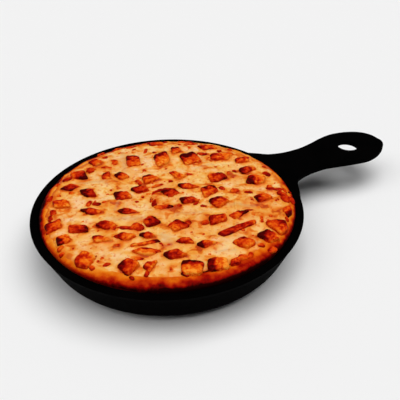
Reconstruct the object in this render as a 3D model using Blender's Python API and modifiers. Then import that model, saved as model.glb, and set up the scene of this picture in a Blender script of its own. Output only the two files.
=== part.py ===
"""Deep dish pizza with roast chicken pieces, uncut, in its cast-iron pan with one flat handle.

Blender 4.5 script in metres, +Z up. The origin is the middle of the pan's flat foot, +X points to
the photograph's right and +Y away from the camera. Sizes below are in millimetres and degrees.
"""

import math

import bmesh
import bpy
import numpy as np
from mathutils import Vector

MM = 0.001
GAP = 0.3
TURN_STEPS = 64
CORNER_STEPS = 3

# Pan: an eight inch skillet, so 204 mm over the rim
RIM_RADIUS = 102.0
PAN_HEIGHT = 31.7
WALL_LEAN = math.atan2(12.46, PAN_HEIGHT)
OUTER_CORNER = 15.3
INNER_CORNER = 13.0
FLOOR_THICKNESS = 4.5
RIM_THICKNESS = 5.8
RIM_EDGE = 1.3

# Handle: flat, just under the rim's level
HANDLE_BEARING = 30.0
HANDLE_THICKNESS = 5.0
HANDLE_BELOW_RIM = 0.4
HANDLE_EDGE = 1.1
# Distance from the pan's middle and half width, from the root inside the wall out to the tip
HANDLE_HALF_OUTLINE = (
    (92.0, 34.5), (102.0, 26.4), (112.0, 20.3), (132.0, 17.2),
    (153.0, 20.2), (178.0, 24.8), (202.0, 20.2), (219.5, 0.0),
)
HOLE_DISTANCE = 181.0
HOLE_RADIUS = 8.7

# Pizza: the crust stands a little above the rim, and the cheese lies in it
CRUST_TOP = 36.0
CRUST_EDGE_HEIGHT = 31.4
CRUST_ROUND = 7.0
CHEESE_RADIUS = 88.6
CHEESE_BOTTOM = 28.0
CHEESE_EDGE = 35.6
CHEESE_TOP = 36.4
CHEESE_RELIEF = 0.45

# Chicken pieces: how deep they sit, their rounded edge, and how far a top corner strays in height
PIECE_SINK = 4.0
PIECE_EDGE = 1.2
CORNER_STRAY = 0.35
LARGE_PIECES = 21
POCKET_GAP = 0.7

# Each piece's rise over the cheese, and the corners of its outline, right and away from the pan's
# middle, clockwise. They are read by eye from the photograph, the largest pieces first.
PIECES = (
    (3.1, (-15, 59), (-5, 67), (-1, 51), (-10, 43)),
    (2.9, (-38, 59), (-28, 59), (-25, 45), (-35, 44)),
    (2.9, (7, 61), (18, 66), (25, 53), (13, 46)),
    (2.7, (34, 64), (52, 66), (47, 56), (34, 55)),
    (2.9, (63, 28), (76, 28), (73, 18), (61, 18)),
    (2.7, (30, 29), (41, 32), (46, 25), (34, 19)),
    (2.7, (-80, 32), (-70, 36), (-65, 25), (-76, 25)),
    (2.7, (-22, 26), (-16, 30), (-8, 24), (-18, 17)),
    (3.1, (31, -6), (39, -2), (46, -7), (37, -15)),
    (2.7, (9, -4), (19, -2), (23, -7), (12, -10)),
    (2.9, (2, -37), (8, -30), (17, -37), (7, -43)),
    (2.7, (-34, -49), (-28, -45), (-19, -48), (-25, -53)),
    (2.9, (-49, -36), (-43, -31), (-34, -36), (-40, -41)),
    (3.4, (-56, -74), (-52, -64), (-43, -69), (-47, -80)),
    (3.4, (-28, -79), (-22, -72), (-14, -77), (-20, -86)),
    (3.4, (13, -74), (26, -75), (25, -85), (14, -86)),
    (3.4, (29, -72), (41, -71), (42, -80), (30, -82)),
    (2.9, (-83, -36), (-74, -30), (-72, -39), (-79, -43)),
    (2.9, (70, -33), (83, -31), (83, -39), (78, -44)),
    (2.9, (0, -67), (9, -63), (16, -68), (6, -72)),
    (2.7, (65, 0), (75, 3), (79, -2), (68, -7)),
    (2.4, (-69, 50), (-64, 55), (-57, 51), (-62, 45)),
    (2.4, (-1, 74), (5, 76), (8, 69), (1, 64)),
    (2.5, (-45, 29), (-40, 34), (-32, 27), (-38, 23)),
    (2.4, (-84, 11), (-77, 17), (-69, 14), (-75, 8)),
    (2.7, (-68, 7), (-59, 9), (-54, 0), (-62, -1)),
    (2.7, (-29, 9), (-22, 13), (-15, 8), (-23, 4)),
    (2.7, (-41, 3), (-31, 5), (-27, -3), (-38, -6)),
    (2.2, (22, 80), (36, 80), (39, 75), (28, 72)),
    (2.4, (54, 56), (65, 60), (65, 53), (55, 49)),
    (2.7, (56, 39), (61, 43), (70, 40), (59, 32)),
    (2.7, (25, 10), (34, 15), (38, 8), (28, -1)),
    (2.9, (31, -27), (42, -24), (43, -31), (32, -36)),
    (3.1, (63, -47), (71, -41), (78, -50), (71, -54)),
    (3.1, (46, -55), (53, -50), (61, -55), (56, -61)),
    (2.5, (8, -55), (11, -51), (18, -51), (20, -56)),
    (2.5, (22, -57), (28, -53), (35, -55), (28, -60)),
    (2.7, (-85, -7), (-74, -6), (-71, -14), (-81, -15)),
    (2.4, (-36, -19), (-30, -16), (-21, -20), (-28, -24)),
    (2.0, (-10, -14), (1, -12), (5, -14), (-4, -18)),
    (2.7, (-67, -37), (-55, -37), (-53, -43), (-65, -44)),
    (2.9, (-73, -50), (-66, -46), (-62, -53), (-70, -58)),
    (2.9, (-16, -32), (-10, -27), (-3, -33), (-12, -38)),
    (2.7, (-49, -49), (-42, -49), (-35, -53), (-45, -55)),
    (2.9, (-12, -79), (-9, -75), (-3, -74), (-7, -83)),
    (2.2, (-1, 33), (3, 36), (12, 29), (8, 23)),
    (2.5, (7, 15), (14, 16), (24, 12), (12, 9)),
    (2.5, (45, -24), (53, -19), (60, -19), (50, -28)),
    (2.2, (37, -44), (62, -30), (63, -34), (42, -48)),
    (2.2, (84, -16), (90, -12), (91, -20), (87, -25)),
    (2.4, (-63, -18), (-55, -16), (-46, -21), (-55, -24)),
    (2.0, (-22, -58), (-5, -52), (-2, -55), (-14, -58)),
    (2.4, (-20, -64), (-13, -61), (-1, -64), (-10, -68)),
    (2.4, (-54, 31), (-49, 35), (-47, 25), (-53, 23)),
    (2.7, (-17, -47), (-11, -44), (-6, -49), (-12, -51)),
    (2.5, (44, -72), (50, -70), (50, -75), (44, -77)),
    (2.4, (-6, 6), (5, 8), (9, 3), (2, -2)),
)

# Smaller bits of chicken that are stuck in the cheese: right, away, turn, length
SHREDS = (
    (-9, -8, 80, 9), (-27, -39, -5, 11), (-47, 51, 100, 9), (-55, 59, 10, 8), (-53, 43, 0, 8),
    (-65, 38, 0, 6), (-43, 20, -20, 6), (-37, 14, -60, 7), (-58, -9, 80, 7), (-52, -10, -15, 6),
    (15, 32, -5, 6), (-9, 15, 25, 9), (50, 33, 15, 10), (41, 12, -50, 6), (-19, -38, -35, 8),
    (14, 77, -5, 10), (27, 65, -5, 10), (77, 33, -50, 7), (-81, -23, 105, 9), (82, 11, -10, 7),
    (-15, -71, 0, 6),
)
SPECKS = (
    (-32, 72), (-23, 71), (-15, 68), (1, 21), (51, 8), (61, 5), (62, -3), (81, -5), (74, -25),
    (68, -29), (27, -12), (6, -12), (33, -48), (-60, -60), (-35, -76), (3, -79), (-31, -57),
    (-23, -7), (78, 14), (-21, 37), (47, 44), (65, -57), (-79, 22), (52, -68),
)
SHRED_WIDTH = 4.4
SHRED_RISE = 1.7
SPECK_SIZE = 3.6
SPECK_RISE = 1.0

CAST_IRON = ("cast_iron", (0.010, 0.010, 0.011), 0.55, 0.6)
BAKED_CRUST = ("baked_crust", (0.42, 0.12, 0.025), 0.6, 0.0)
MELTED_CHEESE = ("melted_cheese", (0.87, 0.53, 0.18), 0.4, 0.0)
ROAST_CHICKEN = ("roast_chicken", (0.56, 0.10, 0.012), 0.45, 0.0)


def clear_scene():
    for obj in list(bpy.data.objects):
        bpy.data.objects.remove(obj, do_unlink=True)


def new_collection(name):
    collection = bpy.data.collections.new(name)
    bpy.context.scene.collection.children.link(collection)
    return collection


def new_material(name, colour, roughness, metallic):
    material = bpy.data.materials.new(name)
    material.use_nodes = True
    shader = material.node_tree.nodes["Principled BSDF"]
    shader.inputs["Base Color"].default_value = (*colour, 1.0)
    shader.inputs["Roughness"].default_value = roughness
    shader.inputs["Metallic"].default_value = metallic
    return material


def new_object(name, data, collection, material=None):
    obj = bpy.data.objects.new(name, data)
    collection.objects.link(obj)
    if material:
        data.materials.append(material)
    return obj


def as_helper(obj):
    obj.hide_render = True
    obj.display_type = "WIRE"
    return obj


def smooth(obj):
    for polygon in obj.data.polygons:
        polygon.use_smooth = True


def evaluated_mesh(obj):
    bpy.context.view_layer.update()
    graph = bpy.context.evaluated_depsgraph_get()
    return bpy.data.meshes.new_from_object(obj.evaluated_get(graph))


def turned(name, profile, collection, material=None):
    """A solid turned about Z from (radius, height) points that run from top to bottom."""
    mesh = bpy.data.meshes.new(name)
    edges = [(i, i + 1) for i in range(len(profile) - 1)]
    mesh.from_pydata([(r * MM, 0.0, z * MM) for r, z in profile], edges, [])
    obj = new_object(name, mesh, collection, material)
    screw = obj.modifiers.new("Turn", "SCREW")
    screw.steps = TURN_STEPS
    screw.render_steps = TURN_STEPS
    screw.use_merge_vertices = True
    screw.merge_threshold = 0.00001
    return obj


def boolean(obj, operation, other):
    modifier = obj.modifiers.new(operation.title(), "BOOLEAN")
    modifier.operation = operation
    if isinstance(other, bpy.types.Collection):
        modifier.operand_type = "COLLECTION"
        modifier.collection = other
    else:
        modifier.object = other
    return modifier


def pan_wall(rim_radius, rim_height, floor_height, corner):
    """Points down a leaning wall from the rim, round the corner and onto the floor."""
    foot_radius = rim_radius - (rim_height - floor_height) * math.tan(WALL_LEAN)
    sweep = math.pi / 2 - WALL_LEAN
    middle = foot_radius - corner * math.tan(sweep / 2)
    points = [(rim_radius, rim_height)]
    for step in range(CORNER_STEPS, -1, -1):
        angle = sweep * step / CORNER_STEPS
        height = floor_height + corner * (1 - math.cos(angle))
        points.append((middle + corner * math.sin(angle), height))
    return points


def inner_radius(height):
    """Radius of the pan's inside at this height on its wall."""
    return RIM_RADIUS - RIM_THICKNESS - (PAN_HEIGHT - height) * math.tan(WALL_LEAN)


def pan_outside(collection):
    edge_height = PAN_HEIGHT - RIM_EDGE
    edge_radius = RIM_RADIUS - RIM_EDGE * math.tan(WALL_LEAN)
    profile = [
        (0.0, PAN_HEIGHT),
        (RIM_RADIUS - 1.5 * RIM_EDGE, PAN_HEIGHT),
        (RIM_RADIUS - 0.5 * RIM_EDGE, PAN_HEIGHT - 0.3 * RIM_EDGE),
    ]
    profile += pan_wall(edge_radius, edge_height, 0.0, OUTER_CORNER)
    profile.append((0.0, 0.0))
    return turned("pan", profile, collection)


def pan_hollow(collection):
    """Cutter for the inside, flared at the top for the rim's rounded inner edge."""
    edge_height = PAN_HEIGHT - RIM_EDGE
    above = PAN_HEIGHT + RIM_EDGE
    profile = [
        (0.0, above),
        (inner_radius(PAN_HEIGHT) + 2.2 * RIM_EDGE, above),
        (inner_radius(PAN_HEIGHT) + 0.5 * RIM_EDGE, PAN_HEIGHT - 0.3 * RIM_EDGE),
    ]
    profile += pan_wall(inner_radius(edge_height), edge_height, FLOOR_THICKNESS, INNER_CORNER)
    profile.append((0.0, FLOOR_THICKNESS))
    return as_helper(turned("pan_hollow", profile, collection))


def smooth_spline(curve, points):
    spline = curve.splines.new("BEZIER")
    spline.bezier_points.add(len(points) - 1)
    for knot, (x, y) in zip(spline.bezier_points, points):
        knot.co = (x * MM, y * MM, 0.0)
        knot.handle_left_type = "AUTO"
        knot.handle_right_type = "AUTO"
    spline.use_cyclic_u = True


def pan_handle(collection):
    """The flat handle with its round hole, as a mesh that reaches into the pan's wall."""
    curve = bpy.data.curves.new("handle_outline", "CURVE")
    curve.dimensions = "2D"
    curve.fill_mode = "BOTH"
    curve.resolution_u = 4
    curve.bevel_depth = HANDLE_EDGE * MM
    curve.bevel_resolution = 0
    curve.offset = -HANDLE_EDGE * MM
    curve.extrude = (HANDLE_THICKNESS / 2 - HANDLE_EDGE) * MM
    far_side = list(HANDLE_HALF_OUTLINE)
    near_side = [(s, -w) for s, w in reversed(HANDLE_HALF_OUTLINE[:-1])]
    smooth_spline(curve, far_side + near_side)
    quarter_turns = [math.radians(90 * i) for i in range(4)]
    hole = [
        (HOLE_DISTANCE + HOLE_RADIUS * math.cos(a), HOLE_RADIUS * math.sin(a))
        for a in quarter_turns
    ]
    smooth_spline(curve, hole)
    outline = new_object("handle_outline", curve, collection)
    mesh = evaluated_mesh(outline)
    bpy.data.objects.remove(outline, do_unlink=True)

    handle = as_helper(new_object("pan_handle", mesh, collection))
    solid = bmesh.new()
    solid.from_mesh(mesh)
    bmesh.ops.remove_doubles(solid, verts=solid.verts, dist=0.01 * MM)
    bmesh.ops.recalc_face_normals(solid, faces=solid.faces)
    solid.to_mesh(mesh)
    solid.free()
    middle_height = PAN_HEIGHT - HANDLE_BELOW_RIM - HANDLE_THICKNESS / 2
    handle.location.z = middle_height * MM
    handle.rotation_euler.z = math.radians(HANDLE_BEARING)
    return handle


def make_pan(parts, cutters, material):
    pan = pan_outside(parts)
    boolean(pan, "UNION", pan_handle(cutters))
    boolean(pan, "DIFFERENCE", pan_hollow(cutters))
    pan.data.materials.append(material)
    return pan


def make_crust(parts, material):
    """Dough that fills the pan to its rim, with a rounded lip round the bed for the cheese."""
    bed_radius = CHEESE_RADIUS + GAP
    edge_radius = inner_radius(CRUST_EDGE_HEIGHT) - GAP - 0.2
    lip_rise = CRUST_TOP - CRUST_EDGE_HEIGHT
    profile = [(0.0, CHEESE_BOTTOM - GAP), (bed_radius, CHEESE_BOTTOM - GAP)]
    for step in range(4):
        angle = math.radians(88 - 26 * step)
        radius = edge_radius - CRUST_ROUND * (1 - math.cos(angle))
        profile.append((radius, CRUST_EDGE_HEIGHT + lip_rise * math.sin(angle)))
    top = CRUST_EDGE_HEIGHT - 0.8
    profile += pan_wall(inner_radius(top) - GAP, top, FLOOR_THICKNESS + GAP, INNER_CORNER - GAP)
    profile.append((0.0, FLOOR_THICKNESS + GAP))
    return turned("crust", profile, parts, material)


def relief(x, y):
    """Slow swells of the cheese's surface, fading out towards its edge."""
    swell = math.sin(x / 9.0 + 0.7) * math.cos(y / 11.0 - 0.4)
    swell += 0.6 * math.sin((x - y) / 6.5)
    fade = 1.0 - (math.hypot(x, y) / CHEESE_RADIUS) ** 4
    return CHEESE_RELIEF * swell * max(fade, 0.0)


def cheese_height(x, y):
    share = min(math.hypot(x, y) / CHEESE_RADIUS, 1.0)
    return CHEESE_EDGE + (CHEESE_TOP - CHEESE_EDGE) * (1 - share**4) + relief(x, y)


def cheese_layer(parts, material):
    """The cheese without its pockets: turned rings, lifted onto the uneven surface."""
    rings = 6
    profile = [(CHEESE_RADIUS * i / rings, CHEESE_EDGE) for i in range(rings)]
    profile += [
        (CHEESE_RADIUS - 0.3, CHEESE_EDGE),
        (CHEESE_RADIUS, CHEESE_EDGE - 0.8),
        (CHEESE_RADIUS, CHEESE_BOTTOM),
        (0.0, CHEESE_BOTTOM),
    ]
    blank = turned("cheese_blank", profile, parts)
    mesh = evaluated_mesh(blank)
    bpy.data.objects.remove(blank, do_unlink=True)
    for vertex in mesh.vertices:
        x, y, z = vertex.co / MM
        if z > CHEESE_EDGE - 0.1:
            vertex.co.z = cheese_height(x, y) * MM
    return new_object("cheese", mesh, parts, material)


def moved_out(outline, gap):
    """The corners of a clockwise outline after each of its sides has moved out by the gap."""
    along = np.roll(outline, -1, axis=0) - outline
    along /= np.linalg.norm(along, axis=1, keepdims=True)
    after = np.column_stack([-along[:, 1], along[:, 0]])
    before = np.roll(after, 1, axis=0)
    share = np.maximum(1.0 + (before * after).sum(axis=1, keepdims=True), 0.5)
    return outline + gap * (before + after) / share


def block_mesh(name, outline, bottom, tops):
    """A block over an outline of four corners, each with its own height at the top."""
    solid = bmesh.new()
    low = [solid.verts.new(Vector((x, y, bottom)) * MM) for x, y in outline]
    high = [solid.verts.new(Vector((x, y, top)) * MM) for (x, y), top in zip(outline, tops)]
    solid.faces.new(low)
    solid.faces.new(high[::-1])
    for i in range(4):
        j = (i + 1) % 4
        solid.faces.new((low[i], high[i], high[j], low[j]))
    bmesh.ops.recalc_face_normals(solid, faces=solid.faces)
    mesh = bpy.data.meshes.new(name)
    solid.to_mesh(mesh)
    solid.free()
    return mesh


def make_chicken(parts, cutters, material):
    """The larger pieces as nodes, and a collection with a pocket for each."""
    random = np.random.default_rng(7)
    pockets = bpy.data.collections.new("pockets")
    cutters.children.link(pockets)
    for number, (rise, *corners) in enumerate(PIECES, start=1):
        name = f"chicken_{number:02d}"
        outline = np.array(corners, float)
        level = cheese_height(*outline.mean(axis=0))
        tops = level + rise + random.uniform(-CORNER_STRAY, CORNER_STRAY, 4)
        bottom = level - PIECE_SINK
        piece = new_object(name, block_mesh(name, outline, bottom, tops), parts, material)
        bevel = piece.modifiers.new("Rounded edges", "BEVEL")
        bevel.width = PIECE_EDGE * MM
        bevel.segments = 2 if number <= LARGE_PIECES else 1
        wide = moved_out(outline, POCKET_GAP)
        pocket = block_mesh("pocket", wide, bottom - POCKET_GAP, tops + 8.0)
        as_helper(new_object(f"pocket_{number:02d}", pocket, pockets))
    return pockets


def crumb_outline(x, y, turn, length, width):
    """The corners of a plain crumb, clockwise."""
    a = math.radians(turn)
    along = np.array([math.cos(a), math.sin(a)]) * length / 2
    across = np.array([-math.sin(a), math.cos(a)]) * width / 2
    middle = np.array([x, y], float)
    signs = ((-1, -1), (-1, 1), (1, 1), (1, -1))
    return np.array([middle + p * along + q * across for p, q in signs])


def make_crumbs(parts):
    """The small bits that are joined to the cheese, as a collection for one union."""
    random = np.random.default_rng(11)
    crumbs = bpy.data.collections.new("crumbs")
    parts.children.link(crumbs)
    bits = [(place, SHRED_WIDTH, SHRED_RISE) for place in SHREDS]
    for x, y in SPECKS:
        size = SPECK_SIZE * random.uniform(0.85, 1.15)
        bits.append(((x, y, random.uniform(0, 90), size), 0.8 * size, SPECK_RISE))
    for number, ((x, y, turn, length), width, rise) in enumerate(bits):
        level = cheese_height(x, y)
        tops = level + rise * random.uniform(0.8, 1.2, 4)
        outline = crumb_outline(x, y, turn, length, width)
        name = f"crumb_{number:02d}"
        new_object(name, block_mesh(name, outline, level - 1.2 * rise, tops), crumbs)
    return crumbs


def remove_collection(collection):
    for obj in list(collection.objects):
        bpy.data.objects.remove(obj, do_unlink=True)
    bpy.data.collections.remove(collection)


def applied(obj):
    """Replaces the object's mesh by what its modifiers make of it."""
    mesh = evaluated_mesh(obj)
    obj.modifiers.clear()
    obj.data = mesh
    return obj


def make_cheese(parts, material, pockets):
    cheese = cheese_layer(parts, material)
    crumbs = make_crumbs(parts)
    boolean(cheese, "UNION", crumbs)
    boolean(cheese, "DIFFERENCE", pockets)
    applied(cheese)
    remove_collection(crumbs)
    return cheese


def main():
    clear_scene()
    parts = new_collection("deep_dish_pizza")
    cutters = new_collection("cutters")
    cutters.hide_render = True
    pan = make_pan(parts, cutters, new_material(*CAST_IRON))
    crust = make_crust(parts, new_material(*BAKED_CRUST))
    pockets = make_chicken(parts, cutters, new_material(*ROAST_CHICKEN))
    cheese = make_cheese(parts, new_material(*MELTED_CHEESE), pockets)
    boolean(crust, "DIFFERENCE", pockets)
    for round_piece in (pan, crust, cheese):
        smooth(round_piece)


main()
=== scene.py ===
"""Looks of a deep dish pizza with roast chicken, in its cast-iron pan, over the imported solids.

Blender 4.5. Lengths are millimetres and angles degrees until a mesh is made, which is in metres.
Every piece is a closed skin: rows of points that wrap round and close on a pole at each end.
"""

import math

import bpy
import numpy as np
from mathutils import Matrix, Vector


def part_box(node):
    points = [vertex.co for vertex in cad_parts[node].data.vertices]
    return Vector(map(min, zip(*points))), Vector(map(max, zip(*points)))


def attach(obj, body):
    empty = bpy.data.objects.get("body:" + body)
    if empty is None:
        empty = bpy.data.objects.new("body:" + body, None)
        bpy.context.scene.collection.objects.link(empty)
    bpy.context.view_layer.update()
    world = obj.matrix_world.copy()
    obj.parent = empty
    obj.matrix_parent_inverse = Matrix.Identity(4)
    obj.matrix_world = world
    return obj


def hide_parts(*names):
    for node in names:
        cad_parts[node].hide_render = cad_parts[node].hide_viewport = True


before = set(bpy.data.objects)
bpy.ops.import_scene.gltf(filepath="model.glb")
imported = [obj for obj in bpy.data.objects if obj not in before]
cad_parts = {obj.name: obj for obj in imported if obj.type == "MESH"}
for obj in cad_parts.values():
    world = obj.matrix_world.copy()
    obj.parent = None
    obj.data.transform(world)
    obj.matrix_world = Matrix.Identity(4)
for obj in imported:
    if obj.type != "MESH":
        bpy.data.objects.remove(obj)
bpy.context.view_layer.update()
MM = 0.001

# Pan, as in the solids, but with a smaller round on the rim's edge. The overhang is how far the
# wall leans out over the pan's height.
RIM_RADIUS = 102.0
PAN_HEIGHT = 31.7
WALL_OVERHANG = 12.46
WALL_LEAN = math.atan2(WALL_OVERHANG, PAN_HEIGHT)
RIM_THICKNESS = 5.8
RIM_EDGE = 1.0
OUTER_CORNER = 15.3
INNER_CORNER = 13.0
FLOOR_THICKNESS = 4.5

# Handle: distance from the pan's middle, then how far the back and the front edge lie from the
# handle's axis, from the root to the tip. The casting isn't even, and its tip leans forward.
HANDLE_BEARING = 30.0
HANDLE_THICKNESS = 5.0
HANDLE_BELOW_RIM = 0.4
HANDLE_EDGE = 1.3
HANDLE_OUTLINE = (
    (83.5, 45.5, 54.0), (87.5, 42.0, 49.6), (91.5, 38.6, 45.2), (95.5, 35.0, 39.8),
    (99.5, 31.8, 33.6), (103.5, 28.6, 27.0), (107.5, 25.2, 22.6), (112.0, 22.5, 20.1),
    (124.0, 19.0, 17.5), (140.0, 18.1, 17.2), (154.0, 20.0, 20.1), (168.0, 23.1, 23.6),
    (182.0, 24.6, 26.1), (194.0, 22.6, 24.3), (204.0, 18.6, 20.0), (210.0, 14.0, 15.9),
    (213.4, 9.3, 12.6), (215.3, 3.8, 8.7), (216.2, -2.4, 2.4), (215.3, -8.7, -3.8),
)
HANDLE_ROOT = 98.4
TIP_HALF_WIDTH = 0.02
HOLE_DISTANCE = 182.0
HOLE_RADIUS = 8.7

# Crust and cheese. The underside is rows inward from the cheese's edge, each so far below the
# one before. The dips lower the crust's crest and edge at the back left, and the pulls draw the
# cheese's edge back at the front and at the back left.
CRUST_EDGE_HEIGHT = 31.4
CRUST_TOP = 36.0
CRUST_ROUND = 7.0
BACK_DIP = 1.3
EDGE_DIP = 1.5
CRUST_RADIUS = 95.7
CRUST_GAP = 0.35
BED_RADIUS = 86.0
AT_FRONT = -math.pi / 2
CHEESE_RADIUS = 88.6
CHEESE_EDGE = 35.6
CHEESE_TOP = 36.4
CHEESE_RELIEF = 0.45
CHEESE_REACH = 93.6
CHEESE_UNDERSIDE = ((0.6, 0.8), (3.0, 1.6), (8.0, 3.6), (40.0, 4.0), (84.0, 4.0))
FRONT_PULL = 6.5
LEFT_PULL = 2.0

# Bits and crumbs: how deep a bit sits, and how many crumbs lie within what radius, how wide
BIT_SINK = 1.5
CRUMBS = 110
CRUMB_REACH = 88.0
CRUMB_SIZES = (0.8, 1.6)

# Chicken pieces, in the order of their solids: the corners of the outline, right and away from
# the pan's middle, clockwise; how browned the top is, from 0 to 1; the bearing of the side that
# is darker, partly charred and partly painted shade, and how dark that side is. The outlines are
# the solids', except for pieces 18 and 19, whose corners lie 1 to 2.2 mm from the solids' corners.
PIECES = (
    ((-15, 59), (-5, 67), (-1, 51), (-10, 43), 0.14, 130, 1.1),
    ((-38, 59), (-28, 59), (-25, 45), (-35, 44), 0.38, 130, 0.8),
    ((7, 61), (18, 66), (25, 53), (13, 46), 0.44, 120, 1.1),
    ((34, 64), (52, 66), (47, 56), (34, 55), 0.22, 150, 0.5),
    ((63, 28), (76, 28), (73, 18), (61, 18), 0.28, 180, 1.0),
    ((30, 29), (41, 32), (46, 25), (34, 19), 0.50, 10, 0.5),
    ((-80, 32), (-70, 36), (-65, 25), (-76, 25), 0.45, 340, 0.9),
    ((-22, 26), (-16, 30), (-8, 24), (-18, 17), 0.40, 125, 1.0),
    ((31, -6), (39, -2), (46, -7), (37, -15), 0.42, 130, 1.1),
    ((9, -4), (19, -2), (23, -7), (12, -10), 0.46, 150, 1.5),
    ((2, -37), (8, -30), (17, -37), (7, -43), 0.38, 70, 0.7),
    ((-34, -49), (-28, -45), (-19, -48), (-25, -53), 0.36, 150, 0.6),
    ((-49, -36), (-43, -31), (-34, -36), (-40, -41), 0.42, 185, 0.5),
    ((-56, -74), (-52, -64), (-43, -69), (-47, -80), 0.20, 200, 0.4),
    ((-28, -79), (-22, -72), (-14, -77), (-20, -86), 0.50, 175, 0.6),
    ((13, -74), (26, -75), (25, -85), (14, -86), 0.22, 95, 1.1),
    ((29, -72), (41, -71), (42, -80), (30, -82), 0.08, 185, 1.3),
    ((-84, -37), (-75, -29), (-72, -38), (-79, -44), 0.38, 165, 0.7),
    ((70, -32), (84, -30), (85, -40), (79, -45), 0.40, 50, 0.7),
    ((0, -67), (9, -63), (16, -68), (6, -72), 0.45, 185, 0.8),
    ((65, 0), (75, 3), (79, -2), (68, -7), 0.30, 185, 0.6),
    ((-69, 50), (-64, 55), (-57, 51), (-62, 45), 0.40, 150, 0.4),
    ((-1, 74), (5, 76), (8, 69), (1, 64), 0.34, 120, 1.0),
    ((-45, 29), (-40, 34), (-32, 27), (-38, 23), 0.45, 145, 1.0),
    ((-84, 11), (-77, 17), (-69, 14), (-75, 8), 0.60, 240, 0.5),
    ((-68, 7), (-59, 9), (-54, 0), (-62, -1), 0.66, 190, 1.0),
    ((-29, 9), (-22, 13), (-15, 8), (-23, 4), 0.55, 140, 0.5),
    ((-41, 3), (-31, 5), (-27, -3), (-38, -6), 0.42, 175, 1.2),
    ((22, 80), (36, 80), (39, 75), (28, 72), 0.24, 165, 0.5),
    ((54, 56), (65, 60), (65, 53), (55, 49), 0.26, 135, 0.6),
    ((56, 39), (61, 43), (70, 40), (59, 32), 0.52, 180, 1.1),
    ((25, 10), (34, 15), (38, 8), (28, -1), 0.36, 80, 1.0),
    ((31, -27), (42, -24), (43, -31), (32, -36), 0.48, 130, 0.6),
    ((63, -47), (71, -41), (78, -50), (71, -54), 0.44, 140, 1.2),
    ((46, -55), (53, -50), (61, -55), (56, -61), 0.32, 100, 0.5),
    ((8, -55), (11, -51), (18, -51), (20, -56), 0.50, 115, 0.6),
    ((22, -57), (28, -53), (35, -55), (28, -60), 0.28, 175, 1.5),
    ((-85, -7), (-74, -6), (-71, -14), (-81, -15), 0.12, 125, 0.4),
    ((-36, -19), (-30, -16), (-21, -20), (-28, -24), 0.64, 210, 0.5),
    ((-10, -14), (1, -12), (5, -14), (-4, -18), 0.40, 0, 0.9),
    ((-67, -37), (-55, -37), (-53, -43), (-65, -44), 0.58, 0, 0.3),
    ((-73, -50), (-66, -46), (-62, -53), (-70, -58), 0.34, 215, 1.0),
    ((-16, -32), (-10, -27), (-3, -33), (-12, -38), 0.58, 350, 0.5),
    ((-49, -49), (-42, -49), (-35, -53), (-45, -55), 0.16, 85, 0.8),
    ((-12, -79), (-9, -75), (-3, -74), (-7, -83), 0.34, 145, 0.6),
    ((-1, 33), (3, 36), (12, 29), (8, 23), 0.18, 120, 0.4),
    ((7, 15), (14, 16), (24, 12), (12, 9), 0.46, 130, 1.1),
    ((45, -24), (53, -19), (60, -19), (50, -28), 0.46, 55, 0.9),
    ((37, -44), (62, -30), (63, -34), (42, -48), 0.56, 200, 0.3),
    ((84, -16), (90, -12), (91, -20), (87, -25), 0.38, 325, 0.8),
    ((-63, -18), (-55, -16), (-46, -21), (-55, -24), 0.46, 170, 0.6),
    ((-22, -58), (-5, -52), (-2, -55), (-14, -58), 0.26, 5, 0.8),
    ((-20, -64), (-13, -61), (-1, -64), (-10, -68), 0.10, 85, 0.6),
    ((-54, 31), (-49, 35), (-47, 25), (-53, 23), 0.44, 150, 0.6),
    ((-17, -47), (-11, -44), (-6, -49), (-12, -51), 0.50, 180, 1.4),
    ((44, -72), (50, -70), (50, -75), (44, -77), 0.34, 215, 0.4),
    ((-6, 6), (5, 8), (9, 3), (2, -2), 0.60, 115, 0.9),
)

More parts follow.
